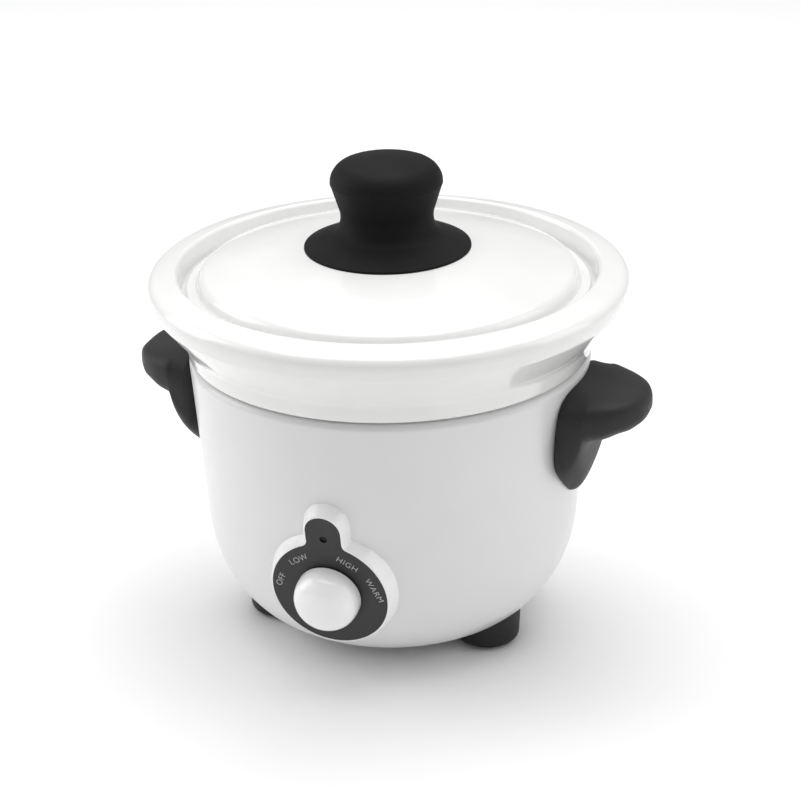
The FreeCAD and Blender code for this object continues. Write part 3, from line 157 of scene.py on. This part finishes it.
def soft_box(name, place, aim, width, height, power):
    """A rectangular area light that faces a point."""
    data = bpy.data.lights.new(name, "AREA")
    data.shape = "RECTANGLE"
    data.size = width
    data.size_y = height
    data.energy = power
    light = bpy.data.objects.new(name, data)
    bpy.context.scene.collection.objects.link(light)
    light.location = place
    light.rotation_euler = (Vector(aim) - Vector(place)).to_track_quat("-Z", "Y").to_euler()


middle = (0, 0, 0.08)
soft_box("overhead_box", (0.0, 0.25, 1.6), middle, 1.8, 1.8, 25.0)
soft_box("left_box", (-1.5, -0.1, 0.7), middle, 0.9, 1.2, 8.0)
soft_box("right_box", (1.5, 0.45, 0.7), middle, 0.9, 1.2, 4.5)

# %% [markdown]
# ## Finishes
# Every finish is a small network of nodes round one Principled shader. What is the same all over
# the surface, such as a coat or the metal share, is typed on the shader. What varies comes from
# noise read at Object coordinates: a broad noise changes the colour and the roughness a little, and
# a fine noise, through a Bump node, gives the skin of the surface. The helpers below each add one
# such step, so that every finish reads like a recipe.

# %% Helpers for finishes
def new_finish(name, **fixed):
    """A material and its node tree, with the shader's fixed values set."""
    material = bpy.data.materials.new(name)
    material.use_nodes = True
    shader = material.node_tree.nodes["Principled BSDF"]
    for socket, value in fixed.items():
        shader.inputs[socket.replace("_", " ")].default_value = value
    return material, material.node_tree, shader


def object_place(tree, stretch=(1, 1, 1)):
    """Object coordinates, stretched by a Mapping node where the grain has a direction."""
    source = tree.nodes.new("ShaderNodeTexCoord")
    mapping = tree.nodes.new("ShaderNodeMapping")
    mapping.inputs["Scale"].default_value = stretch
    tree.links.new(source.outputs["Object"], mapping.inputs["Vector"])
    return mapping.outputs["Vector"]


def noise(tree, place, scale, detail=3.0, distortion=0.0):
    """Cloudy noise from 0 to 1. The scale is in waves per metre."""
    node = tree.nodes.new("ShaderNodeTexNoise")
    node.inputs["Scale"].default_value = scale
    node.inputs["Detail"].default_value = detail
    node.inputs["Distortion"].default_value = distortion
    tree.links.new(place, node.inputs["Vector"])
    return node.outputs["Fac"]


def spread(tree, value, low, high, from_low=0.3, from_high=0.7):
    """Stretches a value to run between two numbers."""
    node = tree.nodes.new("ShaderNodeMapRange")
    node.inputs["From Min"].default_value = from_low
    node.inputs["From Max"].default_value = from_high
    node.inputs["To Min"].default_value = low
    node.inputs["To Max"].default_value = high
    tree.links.new(value, node.inputs["Value"])
    return node.outputs["Result"]


def between(tree, value, first, second):
    """Mixes two colours by a value from 0 to 1."""
    node = tree.nodes.new("ShaderNodeMix")
    node.data_type = "RGBA"
    node.inputs["A"].default_value = (*first, 1)
    node.inputs["B"].default_value = (*second, 1)
    tree.links.new(value, node.inputs["Factor"])
    return node.outputs["Result"]


def raised(tree, shader, height, strength, depth):
    """Feeds a height to the shader's normal through a Bump node. The depth is in metres."""
    node = tree.nodes.new("ShaderNodeBump")
    node.inputs["Strength"].default_value = strength
    node.inputs["Distance"].default_value = depth
    tree.links.new(height, node.inputs["Height"])
    tree.links.new(node.outputs["Normal"], shader.inputs["Normal"])


finishes = {}
print("helpers ready")

# %% [markdown]
# ### White glaze
# The crock and the lid are stoneware under a clear-coated white glaze. Fired glaze is glassy but
# never dead flat: it has a slow ripple a few millimetres wide, and its white drifts very slightly.
# The foot ring of the crock is wiped clean before firing, so there the bare sandy clay shows. A
# picture could be mapped on, but noise has no seams and works at any size.

# %% White glaze
crock_low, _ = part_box("crock")
material, tree, shader = new_finish(
    "white_glaze", Coat_Weight=0.6, Coat_Roughness=0.04, Coat_IOR=1.5, IOR=1.5)
place = object_place(tree)
broad = noise(tree, place, 35, 2.0)
speck = noise(tree, place, 900, 4.0)
height_of = tree.nodes.new("ShaderNodeSeparateXYZ")
tree.links.new(place, height_of.inputs["Vector"])
wiped_to = crock_low.z + 1.1 * MM
glazed_from = crock_low.z + 1.5 * MM
bare = spread(tree, height_of.outputs["Z"], 1.0, 0.0, wiped_to, glazed_from)
white = between(tree, spread(tree, broad, 0, 1), (0.835, 0.835, 0.825), (0.87, 0.87, 0.862))
clay = between(tree, spread(tree, speck, 0, 1), (0.48, 0.40, 0.31), (0.66, 0.58, 0.47))
both = tree.nodes.new("ShaderNodeMix")
both.data_type = "RGBA"
tree.links.new(bare, both.inputs["Factor"])
tree.links.new(white, both.inputs["A"])
tree.links.new(clay, both.inputs["B"])
tree.links.new(both.outputs["Result"], shader.inputs["Base Color"])
tree.links.new(spread(tree, broad, 0.14, 0.24), shader.inputs["Roughness"])
raised(tree, shader, noise(tree, place, 150, 1.5), 0.10, 0.4 * MM)
finishes["white_glaze"] = material
print("bare clay below", round(glazed_from / MM, 1), "mm")

# %% [markdown]
# ### White enamel
# The outer housing is a pressed steel shell with baked white enamel paint. Sprayed paint levels
# out to a satin shine with a fine orange peel, finer than the ripple of the glaze.

# %% White enamel
material, tree, shader = new_finish("white_enamel", Coat_Weight=0.25, Coat_Roughness=0.12, IOR=1.5)
place = object_place(tree)
broad = noise(tree, place, 22, 2.0)
tree.links.new(
    between(tree, spread(tree, broad, 0, 1), (0.775, 0.778, 0.778), (0.80, 0.80, 0.797)),
    shader.inputs["Base Color"])
tree.links.new(spread(tree, noise(tree, place, 60), 0.28, 0.38), shader.inputs["Roughness"])
raised(tree, shader, noise(tree, place, 700, 2.0), 0.10, 0.12 * MM)
finishes["white_enamel"] = material
print("enamel mixed")

# %% [markdown]
# ### White plastic
# The bezel and the control knob are injection-moulded in glossy white plastic. Its skin copies the
# polished mould, so it has almost no texture, only a faint drift in gloss and a very weak ripple.

# %% White plastic
material, tree, shader = new_finish("white_plastic", Coat_Weight=0.35, Coat_Roughness=0.05, IOR=1.5)
place = object_place(tree)
broad = noise(tree, place, 90, 2.0)
tree.links.new(
    between(tree, spread(tree, broad, 0, 1), (0.935, 0.935, 0.935), (0.955, 0.955, 0.95)),
    shader.inputs["Base Color"])
tree.links.new(spread(tree, broad, 0.14, 0.22), shader.inputs["Roughness"])
raised(tree, shader, noise(tree, place, 450, 2.0), 0.05, 0.15 * MM)
finishes["white_plastic"] = material
print("white plastic mixed")

# %% [markdown]
# ### Black moulded resin
# The lid knob, the handles and the feet are pressed from heat-proof black resin. It leaves the
# mould with a fine spark-eroded grain, so it looks dark grey where light grazes it. Two noises are
# mixed here: a fine one for the grain and a slow one for the places that hands have polished. The
# lid knob is pressed in a deeper, duller black than the rest, so the recipe is a function.

# %% Black moulded resin
def black_resin(name, dark, pale, low, high, shine):
    """Moulded resin: two blacks, two limits of roughness, and how much it shines."""
    material, tree, shader = new_finish(name, IOR=1.5, Specular_IOR_Level=shine)
    place = object_place(tree)
    grain = noise(tree, place, 2600, 3.0)
    tree.links.new(
        between(
            tree, spread(tree, grain, 0, 1),
            (dark, dark, dark * 1.05), (pale, pale, pale * 1.03)),
        shader.inputs["Base Color"])
    tree.links.new(spread(tree, noise(tree, place, 45, 2.0), low, high), shader.inputs["Roughness"])
    raised(tree, shader, grain, 0.25, 0.06 * MM)
    finishes[name] = material


black_resin("black_phenolic", 0.013, 0.024, 0.46, 0.60, 0.30)
black_resin("knob_resin", 0.004, 0.009, 0.58, 0.70, 0.15)
print("black resin mixed")

# %% [markdown]
# ### Black plastic and rubber
# The face plate is matt black plastic, flatter than the handles. The gland and the pads are
# rubber: rougher still, with a soft bloom, which a pale noise over the black gives.

# %% Black plastic and rubber
material, tree, shader = new_finish("black_plastic", IOR=1.48)
place = object_place(tree)
grain = noise(tree, place, 3200, 2.0)
tree.links.new(
    between(tree, spread(tree, grain, 0, 1), (0.020, 0.020, 0.020), (0.030, 0.030, 0.030)),
    shader.inputs["Base Color"])
tree.links.new(spread(tree, noise(tree, place, 120), 0.42, 0.52), shader.inputs["Roughness"])
raised(tree, shader, grain, 0.15, 0.04 * MM)
finishes["black_plastic"] = material


def rubber(name, dark, pale):
    """A rubber finish: rough, with a soft pale bloom."""
    material, tree, shader = new_finish(name, IOR=1.45, Sheen_Weight=0.15, Sheen_Roughness=0.6)
    place = object_place(tree)
    bloom = noise(tree, place, 160, 5.0)
    tree.links.new(between(tree, spread(tree, bloom, 0, 1), dark, pale), shader.inputs["Base Color"])
    tree.links.new(spread(tree, bloom, 0.62, 0.80), shader.inputs["Roughness"])
    raised(tree, shader, noise(tree, place, 1400, 3.0), 0.30, 0.08 * MM)
    finishes[name] = material


rubber("black_rubber", (0.014, 0.014, 0.014), (0.026, 0.026, 0.025))
rubber("grey_rubber", (0.075, 0.075, 0.078), (0.11, 0.11, 0.11))
print("plastic and rubber mixed")

# %% [markdown]
# ### Lamp
# Behind the small window in the neck sits a neon lamp in a clear sleeve. The window itself is dark
# smoked plastic, which looks nearly black while the lamp is off. The sleeve is glass, so it lets
# light through, and a little noise keeps it from looking perfect.

# %% Lamp
material, tree, shader = new_finish("dark_lens", IOR=1.45, Specular_IOR_Level=0.25)
place = object_place(tree)
haze = noise(tree, place, 500, 2.0)
tree.links.new(
    between(tree, spread(tree, haze, 0, 1), (0.002, 0.001, 0.001), (0.005, 0.003, 0.003)),
    shader.inputs["Base Color"])
tree.links.new(spread(tree, haze, 0.28, 0.40), shader.inputs["Roughness"])
finishes["dark_lens"] = material

material, tree, shader = new_finish("clear_glass", IOR=1.46, Transmission_Weight=0.85)
place = object_place(tree)
haze = noise(tree, place, 300, 2.0)
tree.links.new(
    between(tree, spread(tree, haze, 0, 1), (0.92, 0.90, 0.87), (0.97, 0.96, 0.94)),
    shader.inputs["Base Color"])
tree.links.new(spread(tree, haze, 0.02, 0.07), shader.inputs["Roughness"])
raised(tree, shader, haze, 0.05, 0.1 * MM)
finishes["clear_glass"] = material
print("lamp finishes mixed")

# %% [markdown]
# ### Metals
# Inside the housing the metals differ by how they were made. The heating pan is spun aluminium,
# with fine rings round the axis. The base cover is galvanised sheet with a zinc spangle. Screws and
# clips are bright-plated steel, and the spindle and blades are brass. A Wave texture of the Rings
# kind would give the spinning marks, but its rings are too even, so noise is stretched instead:
# squeezed along Z it gives the thin level lines that a spinning tool leaves.

# %% Metals
def metal(name, dark, pale, low, high, stretch, scale, strength):
    """A metal finish whose colour, roughness and skin follow one stretched noise."""
    material, tree, shader = new_finish(name, Metallic=1.0)
    grain = noise(tree, object_place(tree, stretch), scale, 4.0)
    tree.links.new(between(tree, spread(tree, grain, 0, 1), dark, pale), shader.inputs["Base Color"])
    tree.links.new(spread(tree, grain, low, high), shader.inputs["Roughness"])
    raised(tree, shader, grain, strength, 0.05 * MM)
    finishes[name] = material


metal("aluminium_sheet", (0.70, 0.70, 0.70), (0.84, 0.84, 0.84), 0.26, 0.40, (1, 1, 40), 30, 0.20)
metal("plated_steel", (0.56, 0.56, 0.57), (0.70, 0.70, 0.70), 0.20, 0.34, (1, 1, 1), 800, 0.12)
metal("brass_metal", (0.60, 0.45, 0.20), (0.76, 0.60, 0.31), 0.22, 0.36, (1, 6, 1), 600, 0.12)

material, tree, shader = new_finish("galvanised_sheet", Metallic=1.0)
place = object_place(tree)
spangle = tree.nodes.new("ShaderNodeTexVoronoi")
spangle.inputs["Scale"].default_value = 220
tree.links.new(place, spangle.inputs["Vector"])
tone = tree.nodes.new("ShaderNodeRGBToBW")
tree.links.new(spangle.outputs["Color"], tone.inputs["Color"])
tree.links.new(
    between(
        tree, spread(tree, tone.outputs["Val"], 0, 1, 0.2, 0.8),
        (0.50, 0.51, 0.52), (0.70, 0.71, 0.72)),
    shader.inputs["Base Color"])
tree.links.new(spread(tree, tone.outputs["Val"], 0.30, 0.48, 0.2, 0.8), shader.inputs["Roughness"])
raised(tree, shader, noise(tree, place, 500, 3.0), 0.15, 0.05 * MM)
finishes["galvanised_sheet"] = material
print("metals mixed")

# %% [markdown]
# ### Mica and ceramic
# The heating band is wrapped in mica board, a flaky tan sheet, and the terminal block is unglazed
# ceramic, chalky and a little yellow. Flakes come from a cell texture, and chalk from fine noise.

# %% Mica and ceramic
material, tree, shader = new_finish("mica_band", IOR=1.56, Coat_Weight=0.2, Coat_Roughness=0.3)
place = object_place(tree)
flakes = tree.nodes.new("ShaderNodeTexVoronoi")
flakes.inputs["Scale"].default_value = 260
tree.links.new(place, flakes.inputs["Vector"])
tone = tree.nodes.new("ShaderNodeRGBToBW")
tree.links.new(flakes.outputs["Color"], tone.inputs["Color"])
tree.links.new(
    between(
        tree, spread(tree, tone.outputs["Val"], 0, 1, 0.2, 0.8),
        (0.36, 0.28, 0.17), (0.58, 0.49, 0.35)),
    shader.inputs["Base Color"])
tree.links.new(spread(tree, tone.outputs["Val"], 0.40, 0.62, 0.2, 0.8), shader.inputs["Roughness"])
raised(tree, shader, noise(tree, place, 700, 4.0), 0.25, 0.1 * MM)
finishes["mica_band"] = material

material, tree, shader = new_finish("terminal_ceramic", IOR=1.5)
place = object_place(tree)
chalk = noise(tree, place, 900, 5.0)
tree.links.new(
    between(tree, spread(tree, chalk, 0, 1), (0.70, 0.67, 0.60), (0.80, 0.78, 0.72)),
    shader.inputs["Base Color"])
tree.links.new(spread(tree, chalk, 0.60, 0.75), shader.inputs["Roughness"])
raised(tree, shader, chalk, 0.30, 0.08 * MM)
finishes["terminal_ceramic"] = material
print("finishes so far:", sorted(finishes))

# %% [markdown]
# ## Give the design its finishes
# The design already names the finish of each of its solids, so one loop hands them out. Solids
# whose shape is right keep their own mesh and only get the better material.

# %% Hand out the finishes
slot_of = {part["node"]: part["material_slot"] for part in frame["record"]["subparts"]}
for name, solid in nodes.items():
    solid.data.materials.clear()
    solid.data.materials.append(finishes[slot_of[name]])
print(len(nodes), "solids dressed")

# %% [markdown]
# ## Turned pieces
# The crock, the lid and both knobs are round, as if turned on a lathe, so each is remade by a spin:
# half of its outline is drawn as a chain of corners, the corners are rounded with a vertex bevel,
# and the chain is spun once round an axis. A smooth ball or cylinder pushed into shape would also
# work, but an outline states the real radii and keeps walls, ledges and undersides in one clean
# mesh. The seam of the spin is merged and the faces are turned outwards afterwards.

# %% Helpers for turned pieces
SPIN_STEPS = 144
ROUNDING_STEPS = 8
SEAM_MERGE = 0.5e-6      # metres, far below the shortest edge


def rounding_run(before, corner, after, radius):
    """How far from a corner its rounding begins, for an arc of this radius."""
    half = (before - corner).angle(after - corner) / 2
    return radius / math.tan(half)


def spun_mesh(corners, closed=False):
    """A bmesh spun about Z from (radius, height, rounding) corners in millimetres."""
    bm = bmesh.new()
    chain = [bm.verts.new((r * MM, 0, z * MM)) for r, z, rounding in corners]
    ends = chain[1:] + (chain[:1] if closed else [])
    for first, second in zip(chain, ends):
        bm.edges.new((first, second))
    runs = []
    for i, (r, z, rounding) in enumerate(corners):
        if rounding:
            before, after = chain[i - 1].co, chain[(i + 1) % len(chain)].co
            runs.append((chain[i], rounding_run(before, chain[i].co, after, rounding * MM)))
    for vertex, run in runs:
        bmesh.ops.bevel(
            bm, geom=[vertex], offset=run, offset_type="OFFSET", affect="VERTICES",
            segments=ROUNDING_STEPS, profile=0.5, material=-1)
    bmesh.ops.spin(
        bm, geom=bm.verts[:] + bm.edges[:], cent=(0, 0, 0), axis=(0, 0, 1), dvec=(0, 0, 0),
        angle=2 * math.pi, steps=SPIN_STEPS, use_merge=True)
    bmesh.ops.remove_doubles(bm, verts=bm.verts[:], dist=SEAM_MERGE)
    bmesh.ops.recalc_face_normals(bm, faces=bm.faces[:])
    return bm


def finished_piece(name, bm, body, node, finish, sharp=math.radians(40)):
    """Turns a bmesh into a smooth piece that rides on a body in place of a design node."""
    mesh = bpy.data.meshes.new(name)
    bm.to_mesh(mesh)
    bm.free()
    mesh.shade_smooth()
    mesh.set_sharp_from_angle(angle=sharp)
    mesh.materials.append(finishes[finish])
    piece = bpy.data.objects.new(name, mesh)
    bpy.context.scene.collection.objects.link(piece)
    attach(piece, body)
    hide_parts(node)
    print(name, "has", len(mesh.polygons), "faces, replaces", node)
    return piece


# %% [markdown]
# ### The crock
# The crock is a thick stoneware pot with a broad flared rim. From the bottom, its outline runs
# round the foot ring, up the hidden wall, out over the shoulder that rests on the housing, up the
# flare and over the rim, down to the ledge for the lid, and back down inside to the floor. Heights
# are counted from the foot ring.

# %% The crock
crock_corners = [
    (0, 1.5, 0), (41, 1.5, 0), (41, 0, 0.7), (46, 0, 0.7), (46, 1.5, 0), (60, 1.5, 11),
    (72.6, 98.5, 0), (82.4, 98.5, 2.4), (83.8, 106.5, 6), (96.3, 121.7, 5), (99.46, 130.7, 4.8),
    (85.3, 133.7, 1.7), (84.3, 124.2, 1.7), (76.5, 124.2, 1.7), (67, 98.5, 30), (54.4, 7, 15),
    (0, 7, 0)]
bm = spun_mesh(crock_corners)
bmesh.ops.translate(bm, verts=bm.verts[:], vec=(0, 0, crock_low.z))
finished_piece("crock_pot", bm, "crock", "crock", "white_glaze")

# %% [markdown]
# ### The lid
# The lid is a shallow glazed dome with a thin flange that drops on the ledge, and a ring below that
# keeps it centred. The dome's curve is one corner with a very large rounding, which a vertex bevel
# turns into an arc that meets the knob's axis level.

# %% The lid
lid_low, lid_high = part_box("lid")
lid_rise = (lid_high.z - lid_low.z) / MM
lid_corners = [
    (2.1, lid_rise, 0), (36.6, lid_rise, 234), (77.0, 12.3, 4.5), (77.6, 7.5, 0.9), (82, 7.2, 0.9),
    (82, 4.5, 0.9), (75, 4.5, 0), (75, 0, 1.5), (70, 0, 1.5), (68, 8.9, 0), (35.0, 18.4, 220),
    (2.1, 18.5, 0)]
bm = spun_mesh(lid_corners, closed=True)
bmesh.ops.translate(bm, verts=bm.verts[:], vec=(0, 0, lid_low.z))
finished_piece("lid_dome", bm, "lid", "lid", "white_glaze")

# %% [markdown]
# ### The lid knob
# The knob is one pressing: a wide skirt that hides its screw, a waisted neck, and a domed cap with
# a crisp lower edge where the two halves of the mould met. Large roundings draw the slow curves
# and tiny ones keep the crisp edges.

# %% The lid knob
knob_low, knob_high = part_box("lid_knob")
knob_rise = (knob_high.z - knob_low.z) / MM
lid_knob_corners = [
    (0, 16.8, 0), (2.1, 16.8, 0), (2.1, 2.3, 0), (17, 2.3, 40), (33.8, 0, 0), (33.8, 1.0, 0.5),
    (27.5, 3.9, 12), (20.2, 6.8, 6),
    (18.3, 13.4, 9), (22.3, 26.1, 0.2), (22.7, 27.0, 0.2), (22.7, 33.6, 8), (9.5, knob_rise, 42),
    (0, knob_rise, 0)]
bm = spun_mesh(lid_knob_corners)
bmesh.ops.translate(bm, verts=bm.verts[:], vec=(0, 0, knob_low.z))
finished_piece("lid_knob_cap", bm, "lid", "lid_knob", "knob_resin")

# %% [markdown]
# ### The control knob
# The control knob is a small hollow dome of white plastic with a hub that grips the spindle. It is
# spun upright like the others and then laid on the panel with the panel's own directions.

# %% The control knob
def out_of_panel(node):
    """Lowest and highest distance in front of the panel's middle that a design node reaches."""
    outs = [-(v.co - panel_middle).dot(panel_inward) for v in nodes[node].data.vertices]
    return min(outs), max(outs)


knob_back, _ = out_of_panel("control_knob")
dial_corners = [
    (0, 9.8, 0), (3.1, 9.8, 0), (3.1, 3.4, 0.2), (5, 3.4, 0.2), (5, 10.6, 0.8), (7.2, 10.2, 2.5),
    (11.3, 6.8, 5),
    (11.3, 0, 0.3), (13.3, 0, 0.4), (13.3, 4.9, 12), (11.9, 8.9, 8), (8.4, 12, 9.3), (3.4, 13, 25),
    (0, 13, 0)]
bm = spun_mesh(dial_corners)
laid = Matrix((panel_right, panel_up, -panel_inward)).transposed().to_4x4()
moved = Matrix.Translation(on_panel(0, 0, knob_back))
bmesh.ops.transform(bm, matrix=moved @ laid, verts=bm.verts[:])
finished_piece("control_knob_dome", bm, "control_knob", "control_knob", "white_plastic")

# %% [markdown]
# ## Lettering on the dial
# The four settings are printed in pale grey round the face plate, each turned so that its top
# points away from the knob. Printing is only ink, so each word is a text curve with the thinnest
# thickness, made a mesh and laid on the plate. A texture could hold the words too, but a mesh stays
# sharp at any distance and needs no picture.

# %% Pale printing ink
material, tree, shader = new_finish("printing_ink", IOR=1.48)
place = object_place(tree)
grain = noise(tree, place, 2500, 2.0)
tree.links.new(
    between(tree, spread(tree, grain, 0, 1), (0.52, 0.52, 0.52), (0.62, 0.62, 0.62)),
    shader.inputs["Base Color"])
tree.links.new(spread(tree, grain, 0.45, 0.60), shader.inputs["Roughness"])
raised(tree, shader, grain, 0.10, 0.02 * MM)
finishes["printing_ink"] = material
print("ink mixed")

# %% Print the settings
SETTINGS = (
    # word, angle round the ring, radius in mm, tilt of the word
    ("off", -80, 20.6, -66), ("low", -38, 18.9, -31), ("high", 29, 18.0, 30), ("warm", 77, 19.4, 64))
LETTER_H = 2.6 * MM
INK_T = 0.03 * MM
CAPITAL_SHARE = 0.70     # height of a capital, as a share of the font's size
THINNING = 0.02          # makes the strokes a little finer
LETTER_SPACING = 1.08

_, plate_out = out_of_panel("dial_plate")


def print_word(word, angle, radius, tilt):
    """One setting, printed at an angle and a radius round the ring, with its own tilt."""
    text = bpy.data.curves.new("word", "FONT")
    text.body = word.upper()
    text.align_x = "CENTER"
    text.align_y = "CENTER"
    text.size = LETTER_H / CAPITAL_SHARE
    text.offset = -THINNING * LETTER_H
    text.space_character = LETTER_SPACING
    text.extrude = INK_T
    loose = bpy.data.objects.new("word", text)
    bpy.context.scene.collection.objects.link(loose)
    bpy.context.view_layer.update()
    drawn = loose.evaluated_get(bpy.context.evaluated_depsgraph_get())
    mesh = bpy.data.meshes.new_from_object(drawn)
    bpy.data.objects.remove(loose)
    around, turn_by = math.radians(angle), math.radians(tilt)
    up = panel_up * math.cos(turn_by) + panel_right * math.sin(turn_by)
    right = panel_right * math.cos(turn_by) - panel_up * math.sin(turn_by)
    spot = on_panel(math.sin(around) * radius * MM, math.cos(around) * radius * MM, plate_out)
    turned_to = Matrix((right, up, -panel_inward)).transposed().to_4x4()
    mesh.transform(Matrix.Translation(spot) @ turned_to)
    piece = bpy.data.objects.new("setting_" + word, mesh)
    bpy.context.scene.collection.objects.link(piece)
    piece.data.materials.clear()
    piece.data.materials.append(finishes["printing_ink"])
    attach(piece, "base")
    return piece


for setting in SETTINGS:
    piece = print_word(*setting)
    print(piece.name, "has", len(piece.data.polygons), "faces")
